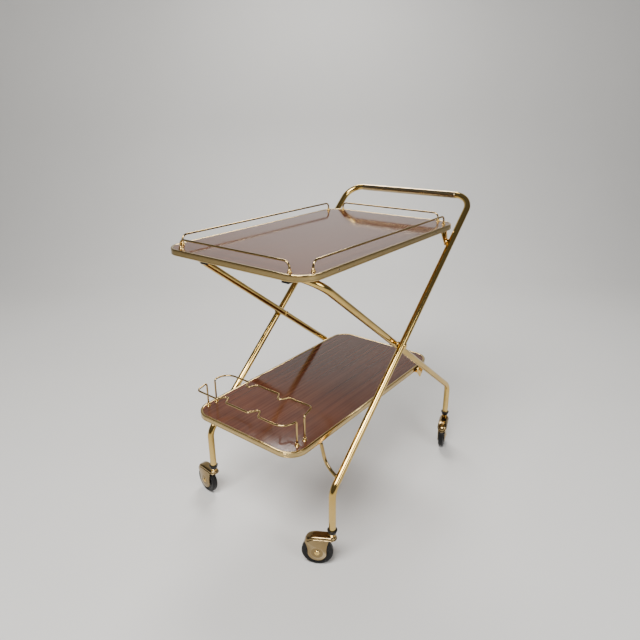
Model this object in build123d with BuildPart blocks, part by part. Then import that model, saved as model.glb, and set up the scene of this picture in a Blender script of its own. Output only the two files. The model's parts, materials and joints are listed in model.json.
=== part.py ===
# Folding serving trolley: two crossed tube frames, two trays, a bottle rack and four swivel casters.
# Frame of the model, in mm: origin on the floor under the middle of the top tray,
# +X towards the push handle, +Z up, Y across. "left" is the -Y side, "right" the +Y side.
from build123d import *
import os
from math import cos, radians, sin

os.makedirs("parts", exist_ok=True)

# ---- overall sizes ----
tray_length = 600.0
tray_width = 385.0
top_rim_z = 682.5
lower_rim_z = 307.2
handle_rise = 52.0  # handle bar's centre over the top rim
handle_reach = 87.0  # handle bar's centre behind the top tray
front_foot_inset = 79.5  # front caster stems behind the top tray's front edge
rear_foot_reach = 80.0  # rear caster stems behind the top tray's rear edge
crossbar_inset = 57.5  # front crossbar behind the top tray's front edge
front_bend_z = 195.5
rear_bend_z = 183.5

# ---- tubes and wires ----
tube_r = 8.0
tube_wall = 1.2
handle_bend_r = 46.0
crossbar_bend_r = 50.0
foot_bend_r = 40.0
frame_gap = 4.0  # between a handle frame leg and the support frame leg inside it
leg_overhang = 2.5  # handle frame legs stand this far inside the top tray's sides
grip_wall = 0.7
rail_wire_r = 2.1
hoop_wire_r = 4.0

# ---- clearances ----
running = 0.05  # radial, pin in a hole that turns on it
seat = 0.02  # radial, pin or ring fixed in its seat
rest_gap = 0.3  # tray over what it rests on
side_gap = 0.2

# ---- trays ----
top_corner_r = 47.0
lower_corner_r = 44.0
lower_length = 588.0
lower_shift_x = -3.0
lower_side_space = 10.8  # lower trim to the inner face of the support frame's legs
trim_height = 13.0
trim_wall = 1.5
lip_width = 6.0
lip_thickness = 1.5
trim_play = 0.1
laminate_thickness = 0.8
laminate_play = 0.2
trim_screw_r = 1.3
trim_screw_head_r = 2.2
trim_screw_length = 11.0
trim_screw_proud = 0.8

# ---- gallery rails and bottle rack ----
rail_rise = 19.5  # wire's centre over the top rim
rail_bend_r = 12.0
side_rail_inset = 17.0
side_rail_end = 43.0  # side rail posts from the tray's ends
end_rail_inset = 14.0
end_rail_side = 46.5  # end rail posts from the tray's sides
ferrule_r = 5.2
ferrule_neck_r = 3.7
ferrule_base = 3.5
ferrule_height = 7.0
nut_across_flats = 7.0
nut_thickness = 3.0
thread_end = 3.4  # wire below the board, through its nut
rack_rise = 57.0  # wire's centre over the lower rim
rack_front_inset = 3.2  # front wire from the lower tray's front edge
rack_depth = 97.0
rack_side_inset = 12.2  # rack posts from the lower tray's side
rack_corner = 9.0
rack_corner_bends = (7.0, 12.0)
rack_wide_bends = (6.0, 28.0)
rack_shift_y = 5.0
rack_post_gap = 24.5
rack_post_back = 37.5
neck_depth = 17.5
neck_y = 47.0
neck_base = 14.0
neck_tip = 4.0
neck_bend_r = 5.0

# ---- pivots and hinges ----
pivot_pin_r = 3.0
pivot_head_r = 7.0
pivot_head = 3.0
top_hinge_drop = 47.5  # hinge axis below the top rim
lower_hinge_drop = 9.5  # hinge axis below the lower rim
hinge_pin_r = 3.0
hinge_head_r = 5.5
hinge_head = 2.6
hinge_boss_r = 8.5
hinge_plate = 2.0
hinge_boss = 3.7
bracket_tip_r = 9.0
bracket_top_x = (-36.0, -4.0)  # bracket's top edge, from the hinge axis
bracket_flange = 28.0
ear_top_x = (-26.0, 12.0)  # ear's top edge, from the hinge axis
ear_tip = (-8.0, -19.5)  # centre of the ear's rounded tip, from the hinge axis
ear_tip_r = 4.5
ear_top_rise = 6.0
ear_side_gap = 4.0
flange_screw_r = 1.4
flange_screw_head_r = 3.0
flange_screw_head = 1.8

# ---- rest clips on the front crossbar ----
clip_width = 17.0
clip_pad = 2.8
clip_r = 11.0
clip_nose = 18.5
clip_mouth = 9.0

# ---- hoop under the lower tray's front ----
hoop_leg_z = 216.0
hoop_knee = (34.0, 236.0)  # distance inside the leg plane, height
hoop_top_inset = 49.0
hoop_knee_r = 55.0
hoop_top_r = 12.0

# ---- casters ----
wheel_r = 35.5
tyre_width = 14.0
tyre_round = 4.5
hub_r = 25.5
hub_width = 12.0
hub_boss_r = 8.0
caster_trail = 33.0
sheet = 1.5
cheek_r = 21.0
hood_front = 61.0
hood_back = 9.0
hood_width = 24.0
hood_height = 8.0  # from the rolled rim to the hood's top
hood_round = 3.5
hood_end_angle = 30.0  # the hood follows the wheel down to here
cheek_front_angle = 54.0
cheek_back = 27.0  # cheek's top edge behind the axle
hood_clearance = 9.0  # hood's top over the tyre
rim_flange = 1.6
axle_r = 3.0
axle_head_r = 6.0
axle_head = 2.6
stem_r = 5.0
stem_collar_r = 8.0
stem_head_r = 6.5
stem_collar = 5.5
socket_depth = 35.0
socket_base_r = 8.8
socket_ring_r = 11.2
socket_ring = 9.7
socket_cup = 0.8  # ring's lip over the tube's end
socket_bevel = 1.5
swivel_angle = {"front_left": 120.0, "front_right": 83.0, "rear_left": 198.0, "rear_right": 150.0}

# ---- places worked out from the sizes above ----
hood_top_z = 2 * wheel_r + hood_clearance
foot_z = hood_top_z + stem_collar + side_gap + socket_ring
half_length = tray_length / 2
half_width = tray_width / 2
handle_half = half_width - leg_overhang
support_half = handle_half - 2 * tube_r - frame_gap
lower_half = support_half - tube_r - lower_side_space
board_thickness = trim_height - 2 * lip_thickness - 2 * trim_play
board_drop = trim_height - lip_thickness - trim_play  # board's underside below the rim
laminate_top_drop = board_drop - board_thickness - laminate_thickness
top_board_z = top_rim_z - board_drop
lower_board_z = lower_rim_z - board_drop
rack_half = lower_half - rack_side_inset - rack_shift_y
clip_y = support_half - crossbar_bend_r - clip_width / 2
crossbar_z = top_board_z - rest_gap - clip_pad - tube_r
hoop_z = lower_board_z - rest_gap - hoop_wire_r

front_foot = (-half_length + front_foot_inset, front_bend_z)
handle_top = (half_length + handle_reach, top_rim_z + handle_rise)
rear_foot = (half_length + rear_foot_reach, rear_bend_z)
crossbar = (-half_length + crossbar_inset, crossbar_z)


def on_line(z, low, high):
    # x of the straight leg from low to high at height z
    return low[0] + (z - low[1]) * (high[0] - low[0]) / (high[1] - low[1])


def crossing(a, b, c, d):
    # point where leg a-b meets leg c-d, seen from the side
    ax, az = b[0] - a[0], b[1] - a[1]
    cx, cz = d[0] - c[0], d[1] - c[1]
    share = ((c[0] - a[0]) * cz - (c[1] - a[1]) * cx) / (ax * cz - az * cx)
    return (a[0] + share * ax, a[1] + share * az)


pivot = crossing(front_foot, handle_top, rear_foot, crossbar)
top_hinge_z = top_rim_z - top_hinge_drop
top_hinge = (on_line(top_hinge_z, front_foot, handle_top), top_hinge_z)
lower_hinge_z = lower_rim_z - lower_hinge_drop
lower_hinge = (on_line(lower_hinge_z, rear_foot, crossbar), lower_hinge_z)
hoop_x = on_line(hoop_leg_z, front_foot, handle_top)


def side_plane(y):
    # upright plane across the trolley at this y; its own axes are the model's X and Z
    return Plane.XZ.offset(-y)


def save(piece, name):
    piece.part.label = name
    export_step(piece.part, "parts/" + name + ".step")


# ---- crossed frames, each one tube bent into a U ----
def bent_frame(foot, top, half, top_bend_r, hinge):
    route = [
        (foot[0], -half, foot_z),
        (foot[0], -half, foot[1]),
        (top[0], -half, top[1]),
        (top[0], half, top[1]),
        (foot[0], half, foot[1]),
        (foot[0], half, foot_z),
    ]
    with BuildPart() as frame:
        with BuildLine():
            FilletPolyline(*route, radius=[foot_bend_r, top_bend_r, top_bend_r, foot_bend_r])
        with BuildSketch(Plane.XY.move(Location(route[0]))):
            Circle(tube_r)
            Circle(tube_r - tube_wall, mode=Mode.SUBTRACT)
        sweep()
        # pivot bolt's hole through both walls of both legs
        with BuildSketch(Plane.XZ):
            with Locations(pivot):
                Circle(pivot_pin_r + running)
        extrude(amount=half + 2 * tube_r, both=True, mode=Mode.SUBTRACT)
        # tray hinge pin's hole in the inner wall of each leg
        for side in (-1, 1):
            with BuildSketch(side_plane(side * (half - tube_r - 1))):
                with Locations(hinge):
                    Circle(hinge_pin_r + seat)
            extrude(amount=-side * (tube_r + 1), mode=Mode.SUBTRACT)
    return frame


handle_frame = bent_frame(front_foot, handle_top, handle_half, handle_bend_r, top_hinge)
save(handle_frame, "handle_frame")

support_frame = bent_frame(rear_foot, crossbar, support_half, crossbar_bend_r, lower_hinge)
save(support_frame, "support_frame")

grip_half = handle_half - handle_bend_r - 1
with BuildPart() as handle_grip:
    with BuildSketch(side_plane(-grip_half)):
        with Locations(handle_top):
            Circle(tube_r + seat + grip_wall)
            Circle(tube_r + seat, mode=Mode.SUBTRACT)
    extrude(amount=-2 * grip_half)
save(handle_grip, "handle_grip")

# ---- wire hoop between the handle frame's legs, which the lower tray's front rests on ----
hoop_points = [
    (hoop_x, -handle_half, hoop_leg_z - 3),
    (hoop_x, -handle_half + hoop_knee[0], hoop_knee[1]),
    (hoop_x, -handle_half + hoop_top_inset, hoop_z),
]
hoop_points += [(x, -y, z) for x, y, z in reversed(hoop_points)]
with BuildPart() as rest_hoop:
    with BuildLine() as hoop_line:
        FilletPolyline(*hoop_points, radius=[hoop_knee_r, hoop_top_r, hoop_top_r, hoop_knee_r])
    with BuildSketch(Plane(hoop_line.line @ 0, z_dir=hoop_line.line % 0)):
        Circle(hoop_wire_r)
    sweep()
    # its ends are coped to the legs they are brazed to
    leg_direction = Vector(handle_top[0] - front_foot[0], 0, handle_top[1] - front_foot[1])
    for side in (-1, 1):
        with BuildSketch(Plane(origin=(front_foot[0], side * handle_half, front_foot[1]), z_dir=leg_direction)):
            Circle(tube_r)
        extrude(amount=100, mode=Mode.SUBTRACT)
save(rest_hoop, "lower_tray_rest_hoop")


# ---- pivot bolts and spacers at the crossing ----
def turned_pin(spot, side, steps):
    # a pin across the trolley: each step is (inner distance, outer distance, radius) from the middle
    for inner, outer, radius in steps:
        with BuildSketch(side_plane(side * inner)) as section:
            with Locations(spot):
                Circle(radius)
        extrude(section.sketch, amount=-side * (outer - inner))


bolt_inner = support_half - tube_r
bolt_outer = handle_half + tube_r
with BuildPart() as pivot_bolts:
    for side in (-1, 1):
        turned_pin(
            pivot,
            side,
            [
                (bolt_inner - side_gap - pivot_head, bolt_inner - side_gap, pivot_head_r),
                (bolt_inner - side_gap, bolt_outer + side_gap, pivot_pin_r),
                (bolt_outer + side_gap, bolt_outer + side_gap + pivot_head, pivot_head_r),
            ],
        )
    fillet(pivot_bolts.faces().sort_by(Axis.Y)[0].edges(), pivot_head * 0.7)
    fillet(pivot_bolts.faces().sort_by(Axis.Y)[-1].edges(), pivot_head * 0.7)
save(pivot_bolts, "frame_pivot_bolts")

with BuildPart() as pivot_spacers:
    for side in (-1, 1):
        with BuildSketch(side_plane(side * (support_half + tube_r + side_gap))):
            with Locations(pivot):
                Circle(pivot_head_r)
                Circle(pivot_pin_r + running, mode=Mode.SUBTRACT)
        extrude(amount=-side * (frame_gap - 2 * side_gap))
save(pivot_spacers, "frame_pivot_spacers")

# ---- plastic rest clips snapped on the front crossbar ----
with BuildPart() as rest_clips:
    for side in (-1, 1):
        with BuildSketch(side_plane(side * (clip_y - clip_width / 2))):
            with Locations(crossbar):
                Circle(clip_r)
                with Locations((-(clip_nose - clip_r) / 2, 0)):
                    Rectangle(clip_nose + clip_r, 2 * (tube_r + clip_pad))
                Circle(tube_r + seat, mode=Mode.SUBTRACT)
                with Locations((0, -clip_r)):
                    Rectangle(clip_mouth, clip_r + tube_r, mode=Mode.SUBTRACT)
        extrude(amount=-side * clip_width)
    fillet(rest_clips.edges().filter_by(Axis.Y).group_by(Axis.X)[0], 1.5)
save(rest_clips, "crossbar_rest_clips")


# ---- trays ----
def tray_board(middle_x, length, half, corner_r, board_z, posts):
    edge = trim_wall + trim_play
    with BuildPart() as board:
        with BuildSketch(Plane.XY.offset(board_z)):
            with Locations((middle_x, 0)):
                RectangleRounded(length - 2 * edge, 2 * (half - edge), corner_r - edge)
            with Locations(*posts):
                Circle(rail_wire_r + side_gap, mode=Mode.SUBTRACT)
        extrude(amount=board_thickness)
    return board


def tray_laminate(middle_x, length, half, corner_r, board_z, posts):
    edge = lip_width + laminate_play
    with BuildPart() as laminate:
        with BuildSketch(Plane.XY.offset(board_z + board_thickness)):
            with Locations((middle_x, 0)):
                RectangleRounded(length - 2 * edge, 2 * (half - edge), corner_r - edge)
            with Locations(*posts):
                Circle(ferrule_r + side_gap, mode=Mode.SUBTRACT)
        extrude(amount=laminate_thickness)
    return laminate


def tray_trim(middle_x, length, half, corner_r, rim_z):
    # channel bent round the board: a side wall with a lip over and under
    with BuildPart() as trim:
        with BuildSketch(Plane.XY.offset(rim_z - trim_height)):
            with Locations((middle_x, 0)):
                RectangleRounded(length, 2 * half, corner_r)
                RectangleRounded(
                    length - 2 * lip_width, 2 * (half - lip_width), corner_r - lip_width, mode=Mode.SUBTRACT
                )
        extrude(amount=trim_height)
        with BuildSketch(Plane.XY.offset(rim_z - trim_height + lip_thickness)):
            with Locations((middle_x, 0)):
                RectangleRounded(length - 2 * trim_wall, 2 * (half - trim_wall), corner_r - trim_wall)
        extrude(amount=trim_height - 2 * lip_thickness, mode=Mode.SUBTRACT)
        for outline in (trim.faces().sort_by(Axis.Z)[-1], trim.faces().sort_by(Axis.Z)[0]):
            fillet(outline.outer_wire().edges(), lip_thickness * 0.8)
    return trim


def rail(points, bends):
    # round wire along straight runs and bends
    with BuildPart() as wire:
        with BuildLine() as run:
            FilletPolyline(*points, radius=bends)
        with BuildSketch(Plane(run.line @ 0, z_dir=run.line % 0)):
            Circle(rail_wire_r)
        sweep()
    return wire


def post_ferrules(posts, board_z):
    with BuildPart() as ferrules:
        base_z = board_z + board_thickness
        for height, radius in ((ferrule_base, ferrule_r), (ferrule_height, ferrule_neck_r)):
            with BuildSketch(Plane.XY.offset(base_z)):
                with Locations(*posts):
                    Circle(radius)
            extrude(amount=height)
        with BuildSketch(Plane.XY.offset(base_z)):
            with Locations(*posts):
                Circle(rail_wire_r + seat)
        extrude(amount=ferrule_height, mode=Mode.SUBTRACT)
    return ferrules


def post_nuts(posts, board_z):
    with BuildPart() as nuts:
        with BuildSketch(Plane.XY.offset(board_z)):
            with Locations(*posts):
                RegularPolygon(nut_across_flats / 2, 6, major_radius=False)
                Circle(rail_wire_r + seat, mode=Mode.SUBTRACT)
        extrude(amount=-nut_thickness)
    return nuts


# ---- top tray ----
side_rail_x = half_length - side_rail_end
side_rail_y = half_width - side_rail_inset
end_rail_x = half_length - end_rail_inset
end_rail_y = half_width - end_rail_side
top_posts = [(x, y) for x in (-side_rail_x, side_rail_x) for y in (-side_rail_y, side_rail_y)]
top_posts += [(x, y) for x in (-end_rail_x, end_rail_x) for y in (-end_rail_y, end_rail_y)]
trim_screw_x = (-tray_length * 0.34, tray_length * 0.305)


def side_screw_holes(head_r, shank_r):
    # screw through the trim's side wall into the board's edge
    for side in (-1, 1):
        for x in trim_screw_x:
            with BuildSketch(side_plane(side * (half_width - trim_screw_length))) as shank:
                with Locations((x, top_board_z + board_thickness / 2)):
                    Circle(shank_r)
            shank_length = trim_screw_length - trim_wall
            extrude(shank.sketch, amount=-side * shank_length, mode=Mode.SUBTRACT)
            with BuildSketch(side_plane(side * (half_width - trim_wall))) as head:
                with Locations((x, top_board_z + board_thickness / 2)):
                    Circle(head_r)
            extrude(head.sketch, amount=-side * 2 * trim_wall, mode=Mode.SUBTRACT)


top_board = tray_board(0, tray_length, half_width, top_corner_r, top_board_z, top_posts)
with top_board:
    side_screw_holes(trim_screw_head_r, trim_screw_r + seat)

top_laminate = tray_laminate(0, tray_length, half_width, top_corner_r, top_board_z, top_posts)
save(top_laminate, "top_tray_laminate")

top_trim = tray_trim(0, tray_length, half_width, top_corner_r, top_rim_z)
with top_trim:
    side_screw_holes(trim_screw_head_r + seat, trim_screw_r)
save(top_trim, "top_tray_trim")

with BuildPart() as top_trim_screws:
    for side in (-1, 1):
        for x in trim_screw_x:
            spot = (x, top_board_z + board_thickness / 2)
            turned_pin(
                spot,
                side,
                [
                    (half_width - trim_screw_length, half_width - trim_wall, trim_screw_r),
                    (half_width - trim_wall, half_width + trim_screw_proud, trim_screw_head_r),
                ],
            )
save(top_trim_screws, "top_trim_screws")

rail_low = top_board_z - thread_end
rail_top = top_rim_z + rail_rise
for side, name in ((-1, "left_gallery_rail"), (1, "right_gallery_rail")):
    y = side * side_rail_y
    ends = [(-side_rail_x, y, rail_low), (-side_rail_x, y, rail_top)]
    ends += [(side_rail_x, y, rail_top), (side_rail_x, y, rail_low)]
    save(rail(ends, rail_bend_r), name)
for side, name in ((-1, "front_gallery_rail"), (1, "rear_gallery_rail")):
    x = side * end_rail_x
    ends = [(x, -end_rail_y, rail_low), (x, -end_rail_y, rail_top)]
    ends += [(x, end_rail_y, rail_top), (x, end_rail_y, rail_low)]
    save(rail(ends, rail_bend_r), name)
save(post_ferrules(top_posts, top_board_z), "gallery_ferrules")
save(post_nuts(top_posts, top_board_z), "gallery_nuts")


# ---- top tray hinge brackets, pins and screws ----
top_plate_out = handle_half - tube_r - hinge_boss - side_gap
top_screw_spots = [
    (top_hinge[0] + bracket_top_x[0] + 8, side * (top_plate_out - bracket_flange + 8)) for side in (-1, 1)
]
top_screw_spots += [(top_hinge[0] + bracket_top_x[1] - 8, y) for x, y in top_screw_spots]
for side, name in ((-1, "top_hinge_bracket_left"), (1, "top_hinge_bracket_right")):
    left_x = top_hinge[0] + bracket_top_x[0]
    right_x = top_hinge[0] + bracket_top_x[1]
    with BuildPart() as bracket:
        with BuildSketch(side_plane(side * (top_plate_out - hinge_plate))):
            with BuildLine():
                Polyline(
                    (left_x, top_board_z),
                    (right_x, top_board_z),
                    (top_hinge[0] + bracket_tip_r, top_hinge[1] + 1),
                    (top_hinge[0] - bracket_tip_r * 0.9, top_hinge[1] - 4),
                    close=True,
                )
            make_face()
            with Locations(top_hinge):
                Circle(bracket_tip_r)
                Circle(hinge_pin_r + running, mode=Mode.SUBTRACT)
        extrude(amount=-side * hinge_plate)
        with BuildSketch(Plane.XY.offset(top_board_z - hinge_plate)):
            with Locations(((left_x + right_x) / 2, side * (top_plate_out - bracket_flange / 2))):
                Rectangle(right_x - left_x, bracket_flange)
            with Locations(*[spot for spot in top_screw_spots if spot[1] * side > 0]):
                Circle(flange_screw_r + seat, mode=Mode.SUBTRACT)
        extrude(amount=hinge_plate)
        # notch round the gallery rail's nut and thread
        with BuildSketch(Plane.XY.offset(top_board_z)):
            with Locations((side_rail_x, side * side_rail_y)):
                Circle(nut_across_flats / 2 + 1.2)
        extrude(amount=-(thread_end + side_gap), mode=Mode.SUBTRACT)
    save(bracket, name)

with BuildPart() as top_hinge_pins:
    for side in (-1, 1):
        plate_in = top_plate_out - hinge_plate
        turned_pin(
            top_hinge,
            side,
            [
                (plate_in - side_gap - hinge_head, plate_in - side_gap, hinge_head_r),
                (plate_in - side_gap, handle_half, hinge_pin_r),
                (top_plate_out + side_gap, handle_half - tube_r - side_gap, hinge_boss_r),
            ],
        )
save(top_hinge_pins, "top_hinge_pins")


def flange_screws(spots, under_z, length):
    # round-headed screws driven up from below
    with BuildPart() as screws:
        for radius, low, high in ((flange_screw_head_r, -flange_screw_head, 0), (flange_screw_r, 0, length)):
            with BuildSketch(Plane.XY.offset(under_z + low)):
                with Locations(*spots):
                    Circle(radius)
            extrude(amount=high - low)
        fillet(screws.edges().group_by(Axis.Z)[0], flange_screw_head * 0.6)
    return screws


def screw_holes(spots, low_z, depth):
    with BuildSketch(Plane.XY.offset(low_z)) as holes:
        with Locations(*spots):
            Circle(flange_screw_r + seat)
    extrude(holes.sketch, amount=depth, mode=Mode.SUBTRACT)


bracket_screw_length = hinge_plate + 7
save(flange_screws(top_screw_spots, top_board_z - hinge_plate, bracket_screw_length), "top_bracket_screws")
with top_board:
    screw_holes(top_screw_spots, top_board_z, bracket_screw_length - hinge_plate)
save(top_board, "top_tray_board")

# ---- lower tray ----
lower_front = lower_shift_x - lower_length / 2
rack_front_x = lower_front + rack_front_inset
rack_rear_x = rack_front_x + rack_depth
rack_rear_post_x = rack_rear_x - rack_post_back
rack_front_post_x = rack_rear_post_x - rack_post_gap
rack_posts = [
    (x, rack_shift_y + side * rack_half) for x in (rack_front_post_x, rack_rear_post_x) for side in (-1, 1)
]
ear_outer = support_half - tube_r - ear_side_gap - side_gap * 3
ear_screw_y = lower_half - 3.8
ear_screw_x = (lower_hinge[0] + ear_top_x[0] + 7, lower_hinge[0] + ear_top_x[1] - 7)
ear_screw_spots = [(x, side * ear_screw_y) for x in ear_screw_x for side in (-1, 1)]
lower_screw_x = (lower_front + 90, lower_front + lower_length - 150)
lower_screw_spots = [(x, side * ear_screw_y) for x in lower_screw_x for side in (-1, 1)]
ear_screw_length = hinge_plate + 8
trim_under_z = lower_rim_z - trim_height

lower_board = tray_board(lower_shift_x, lower_length, lower_half, lower_corner_r, lower_board_z, rack_posts)
with lower_board:
    screw_holes(ear_screw_spots + lower_screw_spots, lower_board_z, ear_screw_length - lip_thickness)
save(lower_board, "lower_tray_board")

lower_laminate = tray_laminate(
    lower_shift_x, lower_length, lower_half, lower_corner_r, lower_board_z, rack_posts
)
save(lower_laminate, "lower_tray_laminate")

lower_trim = tray_trim(lower_shift_x, lower_length, lower_half, lower_corner_r, lower_rim_z)
with lower_trim:
    screw_holes(ear_screw_spots + lower_screw_spots, trim_under_z - 1, lip_thickness + 2)
save(lower_trim, "lower_tray_trim")

save(flange_screws(lower_screw_spots, trim_under_z, ear_screw_length - hinge_plate), "lower_trim_screws")
save(flange_screws(ear_screw_spots, trim_under_z - hinge_plate, ear_screw_length), "lower_ear_screws")


# ---- bottle rack: two wires, each bent into three bays ----
def rack_wire(post_x, line_x, inward, wide_side):
    # each wire has a wide bend at one end and a tight corner at the other
    top = lower_rim_z + rack_rise
    low = lower_board_z - thread_end
    post = [(post_x, rack_half, low), (post_x, rack_half, top)]
    neck = [
        (line_x, neck_y + neck_base, top),
        (line_x + inward * neck_depth, neck_y + neck_tip, top),
        (line_x + inward * neck_depth, neck_y - neck_tip, top),
        (line_x, neck_y - neck_base, top),
    ]
    wide = post + [(line_x, rack_half, top)] + neck
    tight = post + [(line_x, rack_half - rack_corner, top)] + neck
    points = [(x, rack_shift_y + wide_side * y, z) for x, y, z in wide]
    points += [(x, rack_shift_y - wide_side * y, z) for x, y, z in reversed(tight)]
    bends = [*rack_wide_bends] + [neck_bend_r] * 8 + [*reversed(rack_corner_bends)]
    return rail(points, bends)


save(rack_wire(rack_front_post_x, rack_front_x, 1, -1), "bottle_rack_front_wire")
save(rack_wire(rack_rear_post_x, rack_rear_x, -1, 1), "bottle_rack_rear_wire")
save(post_ferrules(rack_posts, lower_board_z), "bottle_rack_ferrules")
save(post_nuts(rack_posts, lower_board_z), "bottle_rack_nuts")

# ---- lower tray hinge ears and pins ----
for side, name in ((-1, "lower_hinge_ear_left"), (1, "lower_hinge_ear_right")):
    left_x = lower_hinge[0] + ear_top_x[0]
    right_x = lower_hinge[0] + ear_top_x[1]
    tip = (lower_hinge[0] + ear_tip[0], lower_hinge[1] + ear_tip[1])
    flange_in = lower_half - lip_width - 2
    with BuildPart() as ear:
        with BuildSketch(side_plane(side * (ear_outer - hinge_plate))):
            with BuildLine():
                Polyline(
                    (left_x, lower_hinge[1] + ear_top_rise),
                    (right_x, lower_hinge[1] + ear_top_rise),
                    (right_x, trim_under_z - hinge_plate),
                    (tip[0] + ear_tip_r, tip[1]),
                    (tip[0] - ear_tip_r, tip[1]),
                    (left_x, trim_under_z - hinge_plate),
                    close=True,
                )
            make_face()
            with Locations(tip):
                Circle(ear_tip_r)
            with Locations(lower_hinge):
                Circle(hinge_pin_r + running, mode=Mode.SUBTRACT)
        extrude(amount=-side * hinge_plate)
        with BuildSketch(Plane.XY.offset(trim_under_z - hinge_plate)):
            with Locations(((left_x + right_x) / 2, side * (flange_in + ear_outer) / 2)):
                Rectangle(right_x - left_x, ear_outer - flange_in)
            with Locations(*[spot for spot in ear_screw_spots if spot[1] * side > 0]):
                Circle(flange_screw_r + seat, mode=Mode.SUBTRACT)
        extrude(amount=hinge_plate)
        # room for the pin's head between the plate and the trim
        with BuildSketch(side_plane(side * lower_half)):
            with Locations(lower_hinge):
                Circle(hinge_head_r + 2 * side_gap)
        extrude(amount=-side * (ear_outer - hinge_plate - lower_half), mode=Mode.SUBTRACT)
    save(ear, name)

with BuildPart() as lower_hinge_pins:
    for side in (-1, 1):
        plate_in = ear_outer - hinge_plate
        turned_pin(
            lower_hinge,
            side,
            [
                (plate_in - side_gap - hinge_head * 0.8, plate_in - side_gap, hinge_head_r),
                (plate_in - side_gap, support_half, hinge_pin_r),
                (ear_outer + side_gap, support_half - tube_r - side_gap, hinge_head_r),
            ],
        )
save(lower_hinge_pins, "lower_hinge_pins")


# ---- casters ----
axle_spot = (caster_trail, wheel_r)
cheek_inner = hood_width / 2 - 2 * sheet
caster_spots = {
    "front_left": (front_foot[0], -handle_half),
    "front_right": (front_foot[0], handle_half),
    "rear_left": (rear_foot[0], -support_half),
    "rear_right": (rear_foot[0], support_half),
}


def caster_socket(upright):
    # plastic socket pushed into the tube's end, with a flared ring that cups it
    bore_r = stem_r + running
    sleeve_r = tube_r - tube_wall - seat
    ring_z = foot_z - socket_ring
    with BuildPart() as socket:
        with BuildSketch(upright):
            with BuildLine():
                Polyline(
                    (bore_r, ring_z),
                    (socket_base_r - socket_bevel, ring_z),
                    (socket_base_r, ring_z + socket_bevel),
                    (socket_ring_r, foot_z - socket_bevel),
                    (socket_ring_r, foot_z + socket_cup),
                    (tube_r + seat, foot_z + socket_cup),
                    (tube_r + seat, foot_z),
                    (sleeve_r, foot_z),
                    (sleeve_r, foot_z + socket_depth),
                    (bore_r, foot_z + socket_depth),
                    close=True,
                )
            make_face()
        revolve(axis=Axis(upright.origin, (0, 0, 1)))
    return socket


def caster_stem(base):
    with BuildPart() as stem:
        for radius, low, high in (
            (stem_head_r, hood_top_z - 2 * sheet - 0.4, hood_top_z - sheet),
            (stem_r, hood_top_z - sheet, foot_z + socket_depth - 3),
            (stem_collar_r, hood_top_z, hood_top_z + stem_collar),
        ):
            with BuildSketch(base.offset(low)):
                Circle(radius)
            extrude(amount=high - low)
    return stem


def over_wheel(base, upright, low_r, high_r, inset):
    # body between two lines that run level and then follow the tyre down, in the hood's plan
    middle = (hood_front - hood_back) / 2
    with BuildPart() as body:
        with BuildSketch(upright):
            with BuildLine():
                outer = CenterArc(axle_spot, high_r, hood_end_angle, 90 - hood_end_angle)
                inner = CenterArc(axle_spot, low_r, hood_end_angle, 90 - hood_end_angle)
                Line(outer @ 0, inner @ 0)
                Polyline(outer @ 1, (-hood_width, wheel_r + high_r), (-hood_width, wheel_r + low_r), inner @ 1)
            make_face()
        extrude(amount=hood_width, both=True)
        with BuildSketch(base):
            with Locations((middle, 0)):
                SlotOverall(hood_front + hood_back - 2 * inset, hood_width - 2 * inset)
        extrude(amount=hood_top_z + 1, mode=Mode.INTERSECT)
    return body


def caster_fork(base, upright):
    # pressed sheet housing: a shallow hood over the wheel, a rolled rim and two cheeks
    hood_r = wheel_r + hood_clearance
    rim_r = hood_r - hood_height
    cheek_top_r = hood_r - sheet / 2
    with BuildPart() as fork:
        add(over_wheel(base, upright, rim_r, hood_r, 0))
        top = fork.faces().sort_by(Axis.Z)[-1]
        fillet(top.edges().filter_by(lambda edge: edge.center().Z > hood_top_z - 0.01), hood_round)
        add(over_wheel(base, upright, rim_r, rim_r + sheet, -rim_flange))
        add(over_wheel(base, upright, rim_r - 1, hood_r - sheet, sheet), mode=Mode.SUBTRACT)
        for side in (-1, 1):
            with BuildSketch(upright.offset(side * cheek_inner)):
                with BuildLine():
                    edge = CenterArc(axle_spot, cheek_top_r, cheek_front_angle, 90 - cheek_front_angle)
                    Polyline(
                        edge @ 1,
                        (caster_trail - cheek_back, wheel_r + cheek_top_r),
                        (caster_trail - cheek_back, wheel_r + rim_r - 2),
                        (caster_trail - cheek_r * 0.99, wheel_r + 5),
                        (caster_trail + cheek_r * 0.99, wheel_r + 5),
                        edge @ 0,
                    )
                make_face()
                with Locations(axle_spot):
                    Circle(cheek_r)
                    Circle(axle_r + seat, mode=Mode.SUBTRACT)
            extrude(amount=side * sheet)
        with BuildSketch(base.offset(hood_top_z - sheet)):
            Circle(stem_r + seat)
        extrude(amount=sheet, mode=Mode.SUBTRACT)
    return fork


def caster_axle(upright):
    cheek_outer = cheek_inner + sheet
    with BuildPart() as axle:
        with BuildSketch(upright):
            with Locations(axle_spot):
                Circle(axle_r)
        extrude(amount=cheek_outer, both=True)
        for side in (-1, 1):
            with BuildSketch(upright.offset(side * cheek_outer)):
                with Locations(axle_spot):
                    Circle(axle_head_r)
            extrude(amount=side * axle_head)
        along = Axis(upright.origin, upright.z_dir)
        for end in (0, -1):
            fillet(axle.faces().sort_by(along)[end].edges(), axle_head * 0.8)
    return axle


def caster_tyre(upright):
    with BuildPart() as tyre:
        with BuildSketch(upright):
            with Locations(axle_spot):
                Circle(wheel_r)
                Circle(hub_r, mode=Mode.SUBTRACT)
        extrude(amount=tyre_width / 2, both=True)
        rims = tyre.edges().filter_by(GeomType.CIRCLE)
        fillet(rims.filter_by(lambda rim: abs(rim.radius - wheel_r) < 0.01), tyre_round)
    return tyre


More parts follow.
